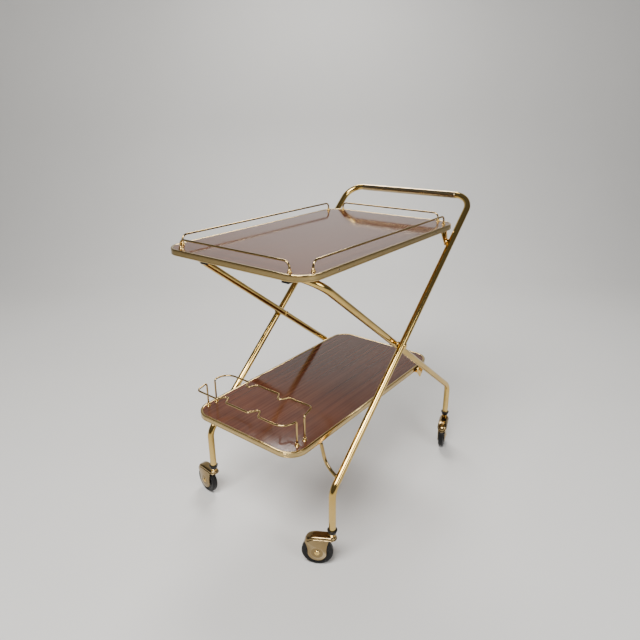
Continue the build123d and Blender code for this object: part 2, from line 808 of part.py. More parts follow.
def caster_hub(upright):
    with BuildPart() as hub:
        for radius, half in ((hub_r, hub_width / 2), (hub_boss_r, cheek_inner - side_gap)):
            with BuildSketch(upright):
                with Locations(axle_spot):
                    Circle(radius)
            extrude(amount=half, both=True)
        for side in (-1, 1):
            with BuildSketch(upright.offset(side * hub_width / 2)):
                with Locations(axle_spot):
                    Circle(hub_r - 3.5)
                    Circle(hub_boss_r + 1.5, mode=Mode.SUBTRACT)
            extrude(amount=-side * 2.5, mode=Mode.SUBTRACT)
        with BuildSketch(upright):
            with Locations(axle_spot):
                Circle(axle_r + running)
        extrude(amount=cheek_inner, both=True, mode=Mode.SUBTRACT)
    return hub


for place, (x, y) in caster_spots.items():
    turn = radians(swivel_angle[place])
    base = Plane(origin=(x, y, 0), x_dir=(cos(turn), sin(turn), 0), z_dir=(0, 0, 1))
    upright = Plane(origin=(x, y, 0), x_dir=(cos(turn), sin(turn), 0), z_dir=(sin(turn), -cos(turn), 0))
    save(caster_socket(upright), place + "_caster_socket")
    save(caster_stem(base), place + "_caster_stem")
    save(caster_fork(base, upright), place + "_caster_fork")
    save(caster_axle(upright), place + "_wheel_axle")
    save(caster_tyre(upright), place + "_tyre")
    save(caster_hub(upright), place + "_wheel_hub")
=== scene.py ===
import bpy
import bmesh
import json
import math
from mathutils import Matrix, Vector


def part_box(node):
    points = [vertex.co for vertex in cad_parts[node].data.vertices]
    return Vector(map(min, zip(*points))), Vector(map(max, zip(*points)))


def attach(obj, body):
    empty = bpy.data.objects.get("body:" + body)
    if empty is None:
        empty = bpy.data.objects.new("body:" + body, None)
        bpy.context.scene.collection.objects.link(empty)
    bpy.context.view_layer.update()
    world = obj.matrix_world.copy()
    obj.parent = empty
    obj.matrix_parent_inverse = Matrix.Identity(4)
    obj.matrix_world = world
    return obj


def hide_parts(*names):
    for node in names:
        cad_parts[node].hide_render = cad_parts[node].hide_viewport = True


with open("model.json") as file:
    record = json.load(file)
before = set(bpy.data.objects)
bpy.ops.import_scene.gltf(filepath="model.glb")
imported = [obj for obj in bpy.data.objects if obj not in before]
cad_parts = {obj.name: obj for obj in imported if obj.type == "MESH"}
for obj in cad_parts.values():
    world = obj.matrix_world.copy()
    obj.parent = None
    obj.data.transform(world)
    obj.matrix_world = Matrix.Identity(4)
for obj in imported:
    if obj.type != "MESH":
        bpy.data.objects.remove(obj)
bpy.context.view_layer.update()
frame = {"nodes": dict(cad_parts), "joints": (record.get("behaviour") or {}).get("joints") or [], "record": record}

joints = {joint["name"]: joint for joint in frame["joints"]}
mm = 0.001
places = ("front_left", "front_right", "rear_left", "rear_right")


# camera, standing in front of the tray on its left side
view = {
    "place": Vector((-0.9571, -0.7321, 0.9403)),
    "heading": math.radians(37.791),  # from +X towards +Y
    "down": math.radians(21.298),
    "roll": math.radians(0.475),
    "lens": 30.02,
}


def addCamera():
    heading, down, roll = view["heading"], view["down"], view["roll"]
    ahead = Vector((math.cos(heading) * math.cos(down), math.sin(heading) * math.cos(down), -math.sin(down)))
    level = Vector((math.sin(heading), -math.cos(heading), 0))
    below = ahead.cross(level)
    across = level * math.cos(roll) + below * math.sin(roll)
    rise = level * math.sin(roll) - below * math.cos(roll)
    lens = bpy.data.cameras.new("camera")
    lens.lens = view["lens"]
    lens.sensor_width = 36
    camera = bpy.data.objects.new("camera", lens)
    turn = Matrix((across, rise, -ahead)).transposed().to_4x4()
    camera.matrix_world = Matrix.Translation(view["place"]) @ turn
    bpy.context.scene.collection.objects.link(camera)
    bpy.context.scene.camera = camera


addCamera()
print("camera placed")


# node groups that the materials share
def newGroup(name, inputs, outputs):
    group = bpy.data.node_groups.new(name, "ShaderNodeTree")
    for socketName, kind, value in inputs:
        socket = group.interface.new_socket(name=socketName, in_out="INPUT", socket_type=kind)
        socket.default_value = value
    for socketName, kind in outputs:
        group.interface.new_socket(name=socketName, in_out="OUTPUT", socket_type=kind)
    return group, group.nodes.new("NodeGroupInput"), group.nodes.new("NodeGroupOutput")


def addNode(tree, kind, links=None, **settings):
    node = tree.nodes.new(kind)
    for key, value in settings.items():
        setattr(node, key, value)
    for socket, source in (links or {}).items():
        if isinstance(source, bpy.types.NodeSocket):
            tree.links.new(source, node.inputs[socket])
        else:
            node.inputs[socket].default_value = source
    return node


def makeCloudGroup():
    # soft patches, for tarnish, smudges and colour drift
    group, given, result = newGroup(
        "surfaceClouds",
        [
            ("Size", "NodeSocketFloat", 12.0),
            ("Low", "NodeSocketFloat", 0.35),
            ("High", "NodeSocketFloat", 0.65),
        ],
        [("Mask", "NodeSocketFloat")],
    )
    spot = addNode(group, "ShaderNodeTexCoord")
    noise = addNode(
        group,
        "ShaderNodeTexNoise",
        {"Vector": spot.outputs["Object"], "Scale": given.outputs["Size"], "Detail": 6.0, "Roughness": 0.62},
    )
    spread = addNode(
        group,
        "ShaderNodeMapRange",
        {0: noise.outputs["Fac"], 1: given.outputs["Low"], 2: given.outputs["High"], 3: 0.0, 4: 1.0},
    )
    group.links.new(spread.outputs[0], result.inputs["Mask"])
    return group


def makeScratchGroup():
    # fine hairline marks in two directions
    group, given, result = newGroup(
        "hairlineMarks", [("Density", "NodeSocketFloat", 1.0)], [("Mask", "NodeSocketFloat")]
    )
    spot = addNode(group, "ShaderNodeTexCoord")
    masks = []
    for turn, stretch in ((0.6, (45.0, 900.0, 45.0)), (-0.9, (700.0, 30.0, 60.0))):
        lay = addNode(
            group,
            "ShaderNodeMapping",
            {"Vector": spot.outputs["Object"], "Rotation": (turn, turn * 0.7, turn)},
        )
        lay.inputs["Scale"].default_value = stretch
        noise = addNode(
            group,
            "ShaderNodeTexNoise",
            {"Vector": lay.outputs[0], "Scale": given.outputs["Density"], "Detail": 3.0, "Roughness": 0.7},
        )
        masks.append(
            addNode(group, "ShaderNodeMapRange", {0: noise.outputs["Fac"], 1: 0.62, 2: 0.8, 3: 0.0, 4: 1.0})
        )
    both = addNode(
        group, "ShaderNodeMath", {0: masks[0].outputs[0], 1: masks[1].outputs[0]}, operation="MAXIMUM"
    )
    group.links.new(both.outputs[0], result.inputs["Mask"])
    return group


def makeEdgeGroup():
    # raised edges, where handling polishes or rubs the finish through
    group, given, result = newGroup(
        "edgeWear",
        [("Start", "NodeSocketFloat", 0.52), ("Full", "NodeSocketFloat", 0.62)],
        [("Mask", "NodeSocketFloat")],
    )
    shape = addNode(group, "ShaderNodeNewGeometry")
    spot = addNode(group, "ShaderNodeTexCoord")
    noise = addNode(
        group, "ShaderNodeTexNoise", {"Vector": spot.outputs["Object"], "Scale": 160.0, "Detail": 4.0}
    )
    edge = addNode(
        group,
        "ShaderNodeMapRange",
        {0: shape.outputs["Pointiness"], 1: given.outputs["Start"], 2: given.outputs["Full"], 3: 0.0, 4: 1.0},
    )
    worn = addNode(
        group, "ShaderNodeMath", {0: edge.outputs[0], 1: noise.outputs["Fac"]}, operation="MULTIPLY"
    )
    group.links.new(worn.outputs[0], result.inputs["Mask"])
    return group


def makeGrainGroup():
    # straight figured wood grain along X
    group, given, result = newGroup(
        "straightGrain",
        [
            ("Stripe", "NodeSocketFloat", 70.0),
            ("Pore", "NodeSocketFloat", 420.0),
            ("Dark", "NodeSocketColor", (0.02, 0.006, 0.004, 1.0)),
            ("Middle", "NodeSocketColor", (0.09, 0.03, 0.015, 1.0)),
            ("Light", "NodeSocketColor", (0.2, 0.08, 0.04, 1.0)),
        ],
        [("Color", "NodeSocketColor"), ("Grain", "NodeSocketFloat")],
    )
    spot = addNode(group, "ShaderNodeTexCoord")
    drift = addNode(
        group, "ShaderNodeTexNoise", {"Vector": spot.outputs["Object"], "Scale": 2.2, "Detail": 2.0}
    )
    layers = []
    for scaleSocket, lengthwise, detail in (("Stripe", 1.1, 3.0), ("Pore", 9.0, 5.0)):
        across = given.outputs[scaleSocket]
        stretch = addNode(group, "ShaderNodeCombineXYZ", {"X": lengthwise, "Y": across, "Z": 1.0})
        lay = addNode(
            group,
            "ShaderNodeVectorMath",
            {0: spot.outputs["Object"], 1: stretch.outputs[0]},
            operation="MULTIPLY",
        )
        shift = addNode(
            group, "ShaderNodeVectorMath", {0: lay.outputs[0], 1: drift.outputs["Color"]}, operation="ADD"
        )
        layers.append(
            addNode(
                group,
                "ShaderNodeTexNoise",
                {"Vector": shift.outputs[0], "Scale": 1.0, "Detail": detail, "Roughness": 0.6},
            )
        )
    mixed = addNode(
        group,
        "ShaderNodeMix",
        {"Factor": 0.42, "A": layers[0].outputs["Fac"], "B": layers[1].outputs["Fac"]},
        data_type="FLOAT",
    )
    spread = addNode(group, "ShaderNodeMapRange", {0: mixed.outputs[0], 1: 0.36, 2: 0.64, 3: 0.0, 4: 1.0})
    lower = addNode(group, "ShaderNodeMapRange", {0: spread.outputs[0], 1: 0.0, 2: 0.5, 3: 0.0, 4: 1.0})
    upper = addNode(group, "ShaderNodeMapRange", {0: spread.outputs[0], 1: 0.5, 2: 1.0, 3: 0.0, 4: 1.0})
    first = addNode(
        group,
        "ShaderNodeMix",
        {"Factor": lower.outputs[0], 6: given.outputs["Dark"], 7: given.outputs["Middle"]},
        data_type="RGBA",
    )
    second = addNode(
        group,
        "ShaderNodeMix",
        {"Factor": upper.outputs[0], 6: first.outputs[2], 7: given.outputs["Light"]},
        data_type="RGBA",
    )
    group.links.new(second.outputs[2], result.inputs["Color"])
    group.links.new(spread.outputs[0], result.inputs["Grain"])
    return group


cloudGroup = makeCloudGroup()
scratchGroup = makeScratchGroup()
edgeGroup = makeEdgeGroup()
grainGroup = makeGrainGroup()


def useGroup(tree, group, **values):
    node = tree.nodes.new("ShaderNodeGroup")
    node.node_tree = group
    for key, value in values.items():
        node.inputs[key].default_value = value
    return node


def startMaterial(name):
    material = bpy.data.materials.new(name)
    material.use_nodes = True
    tree = material.node_tree
    return material, tree, tree.nodes["Principled BSDF"]


def mixColor(tree, mask, first, second):
    return addNode(tree, "ShaderNodeMix", {"Factor": mask, 6: first, 7: second}, data_type="RGBA").outputs[2]


def mixValue(tree, mask, first, second):
    return addNode(tree, "ShaderNodeMapRange", {0: mask, 1: 0.0, 2: 1.0, 3: first, 4: second}).outputs[0]


def multiplyAdd(tree, value, factor, added):
    return addNode(tree, "ShaderNodeMath", {0: value, 1: factor, 2: added}, operation="MULTIPLY_ADD")


def addRelief(tree, shader, height, distance, strength=1.0):
    bump = addNode(tree, "ShaderNodeBump", {"Height": height, "Distance": distance, "Strength": strength})
    tree.links.new(bump.outputs["Normal"], shader.inputs["Normal"])


def makePlating(name, clean, tarnished, worn, smooth, dull, marks=0.00002):
    # polished gold-coloured plating with tarnish clouds, hairlines and rubbed edges
    material, tree, shader = startMaterial(name)
    shader.inputs["Metallic"].default_value = 1.0
    clouds = useGroup(tree, cloudGroup, Size=17.0, Low=0.42, High=0.72)
    specks = useGroup(tree, cloudGroup, Size=210.0, Low=0.66, High=0.8)
    hairs = useGroup(tree, scratchGroup, Density=1.0)
    edges = useGroup(tree, edgeGroup)
    toned = mixColor(tree, clouds.outputs["Mask"], clean, tarnished)
    speckColor = tuple(part * 0.72 for part in tarnished[:3]) + (1.0,)
    specked = mixColor(tree, specks.outputs["Mask"], toned, speckColor)
    rubbed = mixColor(tree, edges.outputs["Mask"], specked, worn)
    tree.links.new(rubbed, shader.inputs["Base Color"])
    rough = mixValue(tree, clouds.outputs["Mask"], smooth, dull)
    marked = multiplyAdd(tree, hairs.outputs["Mask"], 0.09, rough)
    tree.links.new(marked.outputs[0], shader.inputs["Roughness"])
    addRelief(tree, shader, hairs.outputs["Mask"], marks, 0.5)
    return material


def makeLaminate():
    # glossy printed wood-grain sheet, slightly hazed by cleaning
    material, tree, shader = startMaterial("wood_grain_laminate")
    grain = useGroup(
        tree,
        grainGroup,
        Stripe=165.0,
        Pore=720.0,
        Dark=(0.050, 0.0145, 0.0075, 1.0),
        Middle=(0.076, 0.0235, 0.0115, 1.0),
        Light=(0.108, 0.037, 0.0185, 1.0),
    )
    haze = useGroup(tree, cloudGroup, Size=6.0, Low=0.4, High=0.75)
    hairs = useGroup(tree, scratchGroup, Density=0.7)
    hazed = mixColor(tree, haze.outputs["Mask"], grain.outputs["Color"], (0.088, 0.030, 0.017, 1.0))
    softened = mixColor(tree, 0.75, hazed, grain.outputs["Color"])
    tree.links.new(softened, shader.inputs["Base Color"])
    rough = mixValue(tree, haze.outputs["Mask"], 0.075, 0.13)
    marked = multiplyAdd(tree, hairs.outputs["Mask"], 0.05, rough)
    tree.links.new(marked.outputs[0], shader.inputs["Roughness"])
    shader.inputs["Specular IOR Level"].default_value = 0.36
    addRelief(tree, shader, grain.outputs["Grain"], 0.00003, 0.6)
    return material


def makeBoard():
    # sealed board under the laminate
    material, tree, shader = startMaterial("tray_board")
    grain = useGroup(
        tree,
        grainGroup,
        Stripe=24.0,
        Pore=260.0,
        Dark=(0.16, 0.085, 0.045, 1.0),
        Middle=(0.27, 0.155, 0.085, 1.0),
        Light=(0.38, 0.24, 0.14, 1.0),
    )
    stains = useGroup(tree, cloudGroup, Size=9.0, Low=0.5, High=0.8)
    aged = mixColor(tree, stains.outputs["Mask"], grain.outputs["Color"], (0.14, 0.085, 0.05, 1.0))
    tree.links.new(aged, shader.inputs["Base Color"])
    tree.links.new(mixValue(tree, grain.outputs["Grain"], 0.72, 0.58), shader.inputs["Roughness"])
    addRelief(tree, shader, grain.outputs["Grain"], 0.00015)
    return material


def makeMoulded(name, dark, pale, smooth, rough, grainSize=900.0):
    # moulded plastic or rubber: fine skin texture, scuffs on the edges
    material, tree, shader = startMaterial(name)
    skin = addNode(tree, "ShaderNodeTexCoord")
    pits = addNode(
        tree, "ShaderNodeTexNoise", {"Vector": skin.outputs["Object"], "Scale": grainSize, "Detail": 2.0}
    )
    dust = useGroup(tree, cloudGroup, Size=55.0, Low=0.45, High=0.8)
    edges = useGroup(tree, edgeGroup, Start=0.51, Full=0.6)
    dusty = multiplyAdd(tree, dust.outputs["Mask"], 0.35, edges.outputs["Mask"])
    dusty.use_clamp = True
    tree.links.new(mixColor(tree, dusty.outputs[0], dark, pale), shader.inputs["Base Color"])
    tree.links.new(mixValue(tree, dust.outputs["Mask"], smooth, rough), shader.inputs["Roughness"])
    shader.inputs["Specular IOR Level"].default_value = 0.22
    addRelief(tree, shader, pits.outputs["Fac"], 0.00005, 0.5)
    return material


# clean, tarnished and rubbed colour, then roughness where clean and where tarnished
platings = {
    "plated_tube": {
        "clean": (0.62, 0.425, 0.135, 1.0),
        "tarnished": (0.50, 0.33, 0.095, 1.0),
        "worn": (0.82, 0.63, 0.29, 1.0),
        "smooth": 0.08,
        "dull": 0.16,
    },
    "plated_wire": {
        "clean": (0.45, 0.315, 0.125, 1.0),
        "tarnished": (0.33, 0.22, 0.08, 1.0),
        "worn": (0.78, 0.60, 0.31, 1.0),
        "smooth": 0.1,
        "dull": 0.2,
    },
    "plated_fittings": {
        "clean": (0.78, 0.53, 0.17, 1.0),
        "tarnished": (0.64, 0.40, 0.11, 1.0),
        "worn": (0.92, 0.72, 0.36, 1.0),
        "smooth": 0.1,
        "dull": 0.19,
    },
    "tray_trim": {
        "clean": (0.45, 0.32, 0.13, 1.0),
        "tarnished": (0.36, 0.25, 0.095, 1.0),
        "worn": (0.82, 0.66, 0.38, 1.0),
        "smooth": 0.09,
        "dull": 0.18,
    },
    "caster_housing": {
        # clean and tarnished colours are darkened partly as painted shade: on top of the housing's own plating
        # colour, they stand in for the dark floor reflected in the low casters
        "clean": (0.29, 0.205, 0.095, 1.0),
        "tarnished": (0.21, 0.145, 0.065, 1.0),
        "worn": (0.78, 0.63, 0.40, 1.0),
        "smooth": 0.13,
        "dull": 0.25,
        "marks": 0.00004,
    },
    "dark_screws": {
        "clean": (0.20, 0.16, 0.11, 1.0),
        "tarnished": (0.11, 0.08, 0.05, 1.0),
        "worn": (0.34, 0.28, 0.2, 1.0),
        "smooth": 0.32,
        "dull": 0.5,
    },
    "handle_sleeve": {
        "clean": (0.44, 0.335, 0.19, 1.0),
        "tarnished": (0.34, 0.25, 0.13, 1.0),
        "worn": (0.66, 0.53, 0.34, 1.0),
        "smooth": 0.14,
        "dull": 0.26,
    },
}
# clean and dusty colour, then roughness of each
moulded = {
    "black_plastic": {
        "dark": (0.008, 0.008, 0.008, 1.0),
        "pale": (0.026, 0.024, 0.021, 1.0),
        "smooth": 0.28,
        "rough": 0.45,
    },
    "wheel_plastic": {
        "dark": (0.007, 0.007, 0.008, 1.0),
        "pale": (0.028, 0.026, 0.024, 1.0),
        "smooth": 0.26,
        "rough": 0.45,
    },
    "tyre_rubber": {
        "dark": (0.006, 0.006, 0.0065, 1.0),
        "pale": (0.024, 0.022, 0.020, 1.0),
        "smooth": 0.36,
        "rough": 0.55,
    },
}
finishes = {slotName: makePlating(slotName, **look) for slotName, look in platings.items()}
finishes.update({"wood_grain_laminate": makeLaminate(), "tray_board": makeBoard()})
finishes.update({slotName: makeMoulded(slotName, **look) for slotName, look in moulded.items()})
slotOf = {part["node"]: part["material_slot"] for part in frame["record"]["subparts"]}
for nodeName, cadNode in frame["nodes"].items():
    cadNode.data.materials.clear()
    cadNode.data.materials.append(finishes[slotOf[nodeName]])
print("materials made")


# mesh building
def bentRoute(corners, bends, arcStep=math.radians(5)):
    # straight runs with a round bend at each inner corner
    corners = [Vector(corner) for corner in corners]
    route = [corners[0]]
    for before, corner, after, bend in zip(corners, corners[1:], corners[2:], bends):
        back = (before - corner).normalized()
        onward = (after - corner).normalized()
        turn = math.pi - back.angle(onward)
        centre = corner + (back + onward).normalized() * bend / math.cos(turn / 2)
        start = corner + back * bend * math.tan(turn / 2) - centre
        axis = start.cross(corner + onward * bend * math.tan(turn / 2) - centre).normalized()
        count = max(2, math.ceil(turn / arcStep))
        route += [centre + Matrix.Rotation(turn * step / count, 3, axis) @ start for step in range(count + 1)]
    route.append(corners[-1])
    return route


def quarterTurn(steps, first=0):
    # sine and cosine of even steps through a right angle
    turns = [math.pi / 2 * step / steps for step in range(first, steps + 1)]
    return [(math.sin(turn), math.cos(turn)) for turn in turns]


def nearby(x, z, *steps):
    # points given by their steps from one place, in millimetres
    return [(x + across * mm, z + up * mm) for across, up in steps]


def ringSection(radius, count=28):
    return [
        (radius * math.cos(math.tau * step / count), radius * math.sin(math.tau * step / count))
        for step in range(count)
    ]


def bridge(shape, first, second):
    # a band of faces between two closed rings of points
    for index in range(len(first)):
        after = (index + 1) % len(first)
        shape.faces.new((first[index], first[after], second[after], second[index]))


def sweep(shape, route, section, up=None, loop=False):
    # carries a closed section along a route; "up" keeps it level, otherwise it follows the bends
    tangents = []
    for index, point in enumerate(route):
        before = route[index - 1] if loop or index else point
        after = route[(index + 1) % len(route)] if loop or index + 1 < len(route) else point
        tangents.append((after - before).normalized())
    rise = up or tangents[0].orthogonal().normalized()
    rings = []
    previous = tangents[0]
    for point, tangent in zip(route, tangents):
        if not up:
            rise = previous.rotation_difference(tangent) @ rise
            previous = tangent
        side = tangent.cross(rise).normalized()
        top = side.cross(tangent).normalized()
        rings.append([shape.verts.new(point + side * across + top * high) for across, high in section])
    for first, second in zip(rings, rings[1:] + (rings[:1] if loop else [])):
        bridge(shape, first, second)
    if not loop:
        shape.faces.new(rings[0][::-1])
        shape.faces.new(rings[-1])


def turned(shape, profile, place, segments=40, loop=False):
    # revolves (radius, height) points round the place's Z axis, where a radius near 0 makes one point;
    # loop joins the last point to the first
    rings = []
    for radius, height in profile:
        spots = ringSection(radius, segments) if radius > 1e-7 else [(0, 0)]
        rings.append([shape.verts.new(place @ Vector((x, y, height))) for x, y in spots])
    pairs = list(zip(rings, rings[1:])) + ([(rings[-1], rings[0])] if loop else [])
    for first, second in pairs:
        for step in range(segments):
            after = (step + 1) % segments
            corners = [first[step % len(first)], first[after % len(first)]]
            corners += [second[after % len(second)], second[step % len(second)]]
            unique = list(dict.fromkeys(corners))
            if len(unique) > 2:
                shape.faces.new(unique)


def along(origin, axis):
    # a place whose Z points along the axis
    return Matrix.Translation(origin) @ Vector(axis).to_track_quat("Z", "Y").to_matrix().to_4x4()


def addPiece(name, shape, body, slotName, replaced=(), sharp=math.radians(38)):
    bmesh.ops.recalc_face_normals(shape, faces=shape.faces)
    for face in shape.faces:
        face.smooth = True
    for edge in shape.edges:
        if len(edge.link_faces) == 2 and edge.calc_face_angle(0) > sharp:
            edge.smooth = False
    mesh = bpy.data.meshes.new(name)
    shape.to_mesh(mesh)
    shape.free()
    mesh.materials.append(finishes[slotName])
    piece = bpy.data.objects.new(name, mesh)
    bpy.context.scene.collection.objects.link(piece)
    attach(piece, body)
    if replaced:
        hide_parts(*replaced)
    return piece


def softened(nodeName, width, body, segments=2):
    # the CAD node's own shape with its sharp edges rounded over
    shape = bmesh.new()
    shape.from_mesh(frame["nodes"][nodeName].data)
    bmesh.ops.remove_doubles(shape, verts=shape.verts, dist=1e-6)
    bmesh.ops.dissolve_limit(
        shape, angle_limit=math.radians(1), verts=shape.verts, edges=shape.edges, delimit={"NORMAL"}
    )
    inner = [edge for edge in shape.edges if len(edge.link_faces) == 2]
    edges = [edge for edge in inner if edge.calc_face_angle(0) > math.radians(40)]
    bmesh.ops.bevel(
        shape, geom=edges, offset=width, segments=segments, profile=0.5, affect="EDGES", clamp_overlap=True
    )
    return addPiece(nodeName + "_shape", shape, body, slotOf[nodeName], (nodeName,))


# crossed tube frames
tubes = {
    "radius": 8 * mm,
    "frontBend": 195.5 * mm,  # heights of the bends over the feet
    "rearBend": 183.5 * mm,
    "footBend": 40 * mm,
    "handleBend": 46 * mm,
    "crossbarBend": 50 * mm,
    "sides": 40,
}
grip = {"lip": 0.5 * mm, "play": 0.03 * mm, "segments": 48}


def addFrames():
    # the handle frame stands in front and leans back; the support frame does the opposite
    radius = tubes["radius"]
    for name, bendHeight, topBend in (
        ("handle_frame", tubes["frontBend"], tubes["handleBend"]),
        ("support_frame", tubes["rearBend"], tubes["crossbarBend"]),
    ):
        low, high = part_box(name)
        footX, topX = low.x + radius, high.x - radius
        if name == "support_frame":
            footX, topX = topX, footX
        half = high.y - radius
        topZ = high.z - radius
        corners = [(footX, -half, low.z), (footX, -half, bendHeight), (topX, -half, topZ)]
        corners += [(x, -y, z) for x, y, z in reversed(corners)]
        bends = (tubes["footBend"], topBend, topBend, tubes["footBend"])
        shape = bmesh.new()
        sweep(shape, bentRoute(corners, bends, math.radians(3)), ringSection(radius, tubes["sides"]))
        addPiece(name + "_tube", shape, name, "plated_tube", (name,))


def addGrip():
    low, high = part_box("handle_grip")
    middle = (low + high) / 2
    radius = (high.z - low.z) / 2
    half = (high.y - low.y) / 2
    lip = grip["lip"]
    bore = tubes["radius"] + grip["play"]
    profile = [(bore, -half), (radius - lip, -half), (radius, -half + lip)]
    profile += [(radius, -half + lip * 4), (radius, half - lip * 4)]
    profile += [(radius, half - lip), (radius - lip, half), (bore, half)]
    shape = bmesh.new()
    turned(shape, profile, along(middle, (0, 1, 0)), grip["segments"], loop=True)
    addPiece("handle_sleeve", shape, "handle_frame", "handle_sleeve", ("handle_grip",))


addFrames()
addGrip()
print("frames built")

# wires: gallery rails, bottle rack and rest hoop
wires = {"radius": 2.1 * mm, "bend": 12 * mm, "sides": 20, "hoopRadius": 4 * mm, "hoopSides": 24}
hoop = {
    "legY": 190 * mm,
    "footIn": 3 * mm,  # wire's end inside the leg
    "footZ": 214 * mm,
    "kneeIn": 34 * mm,
    "kneeZ": 236 * mm,
    "kneeBend": 55 * mm,
    "topIn": 49 * mm,
    "topBend": 12 * mm,
}
rack = {
    "shift": 5 * mm,
    "half": 134 * mm,
    "corner": 9 * mm,  # cut across the tight end's corner
    "tightBends": (7 * mm, 12 * mm),
    "wideBends": (6 * mm, 28 * mm),
    "neckAt": 47 * mm,
    "neckBase": 14 * mm,
    "neckTip": 4 * mm,
    "neckDepth": 17.5 * mm,
    "neckBend": 5 * mm,
}


def addRails():
    radius = wires["radius"]
    for side in ("left", "right", "front", "rear"):
        name = side + "_gallery_rail"
        low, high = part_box(name)
        middle = (low + high) / 2
        if side in ("left", "right"):
            ends = [(low.x + radius, middle.y), (high.x - radius, middle.y)]
        else:
            ends = [(middle.x, low.y + radius), (middle.x, high.y - radius)]
        top = high.z - radius
        corners = [(*ends[0], low.z), (*ends[0], top), (*ends[1], top), (*ends[1], low.z)]
        shape = bmesh.new()
        sweep(shape, bentRoute(corners, (wires["bend"],) * 2), ringSection(radius, wires["sides"]))
        addPiece(name + "_wire", shape, "top_tray", "plated_wire", (name,))


def addRack():
    radius = wires["radius"]
    for side, inward in (("front", 1), ("rear", -1)):
        name = "bottle_rack_" + side + "_wire"
        low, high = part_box(name)
        top = high.z - radius
        lineX, postX = low.x + radius, high.x - radius
        if inward < 0:
            lineX, postX = postX, lineX
        neckX = lineX + inward * rack["neckDepth"]
        post = [(postX, rack["half"], low.z), (postX, rack["half"], top)]
        neck = [
            (lineX, rack["neckAt"] + rack["neckBase"], top),
            (neckX, rack["neckAt"] + rack["neckTip"], top),
            (neckX, rack["neckAt"] - rack["neckTip"], top),
            (lineX, rack["neckAt"] - rack["neckBase"], top),
        ]
        wide = post + [(lineX, rack["half"], top)] + neck
        tight = post + [(lineX, rack["half"] - rack["corner"], top)] + neck
        corners = [(x, rack["shift"] - inward * y, z) for x, y, z in wide]
        corners += [(x, rack["shift"] + inward * y, z) for x, y, z in reversed(tight)]
        bends = rack["wideBends"] + (rack["neckBend"],) * 8 + rack["tightBends"][::-1]
        shape = bmesh.new()
        route = bentRoute(corners, bends, math.radians(8))
        sweep(shape, route, ringSection(radius, wires["sides"]))
        addPiece(name + "_bent", shape, "lower_tray", "plated_wire", (name,))


def addHoop():
    low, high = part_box("lower_tray_rest_hoop")
    x = (low.x + high.x) / 2
    top = high.z - wires["hoopRadius"]
    half = [
        (x, -hoop["legY"] + hoop["footIn"], hoop["footZ"]),
        (x, -hoop["legY"] + hoop["kneeIn"], hoop["kneeZ"]),
        (x, -hoop["legY"] + hoop["topIn"], top),
    ]
    corners = half + [(x, -y, z) for x, y, z in reversed(half)]
    bends = (hoop["kneeBend"], hoop["topBend"], hoop["topBend"], hoop["kneeBend"])
    shape = bmesh.new()
    sweep(shape, bentRoute(corners, bends), ringSection(wires["hoopRadius"], wires["hoopSides"]))
    addPiece("rest_hoop", shape, "handle_frame", "plated_wire", ("lower_tray_rest_hoop",))


addRails()
addRack()
addHoop()
print("wires bent")

# ferrules and nuts on the wires' ends
ferrule = {"foot": 5.2 * mm, "neck": 3.7 * mm, "height": 7 * mm, "play": 0.02 * mm, "nutEdge": 0.4 * mm}


def postSpots(wireName):
    # where a wire's two posts stand, read from the wire's own box
    low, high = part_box(wireName)
    radius = wires["radius"]
    ends = [(low.x + radius, low.y + radius), (high.x - radius, high.y - radius)]
    if wireName.startswith("bottle"):
        x = ends[1][0] if "front" in wireName else ends[0][0]
        return [(x, y) for _, y in ends]
    if high.x - low.x > high.y - low.y:
        return [(x, (low.y + high.y) / 2) for x, _ in ends]
    return [((low.x + high.x) / 2, y) for _, y in ends]


def ferruleProfile():
    foot, neck, height = ferrule["foot"], ferrule["neck"], ferrule["height"]
    bore = wires["radius"] + ferrule["play"]
    flange = nearby(foot, 0, (-0.2, 0), (0, 0.3), (0, 0.9), (-0.35, 1.3))
    flange += nearby(foot, 0, (-1.0, 1.6), (-1.05, 2.7), (-1.3, 3.2))
    barrel = nearby(neck, 0, (-0.5, 3.6), (-0.7, 4.4), (-0.3, 5.2), (-0.15, 5.9), (-0.35, 6.5))
    return [(bore, 0)] + flange + barrel + [(neck - 0.8 * mm, height), (bore, height)]


def addFerrules():
    gallery = [side + "_gallery_rail" for side in ("left", "right", "front", "rear")]
    groups = {
        "gallery_ferrules": ("top_tray", gallery),
        "bottle_rack_ferrules": ("lower_tray", ["bottle_rack_front_wire", "bottle_rack_rear_wire"]),
    }
    for name, (body, wireNames) in groups.items():
        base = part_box(name)[0].z
        shape = bmesh.new()
        for x, y in [spot for wireName in wireNames for spot in postSpots(wireName)]:
            turned(shape, ferruleProfile(), Matrix.Translation((x, y, base)), 32, loop=True)
        addPiece(name + "_turned", shape, body, "plated_fittings", (name,))
    softened("gallery_nuts", ferrule["nutEdge"], "top_tray")
    softened("bottle_rack_nuts", ferrule["nutEdge"], "lower_tray")


addFerrules()
print("ferrules turned")

# tray trims
trim = {"height": 13 * mm, "wall": 1.5 * mm, "lip": 6 * mm, "sheet": 1.5 * mm, "gap": 0.25 * mm}
trayCorners = {"top_tray": 47 * mm, "lower_tray": 44 * mm}


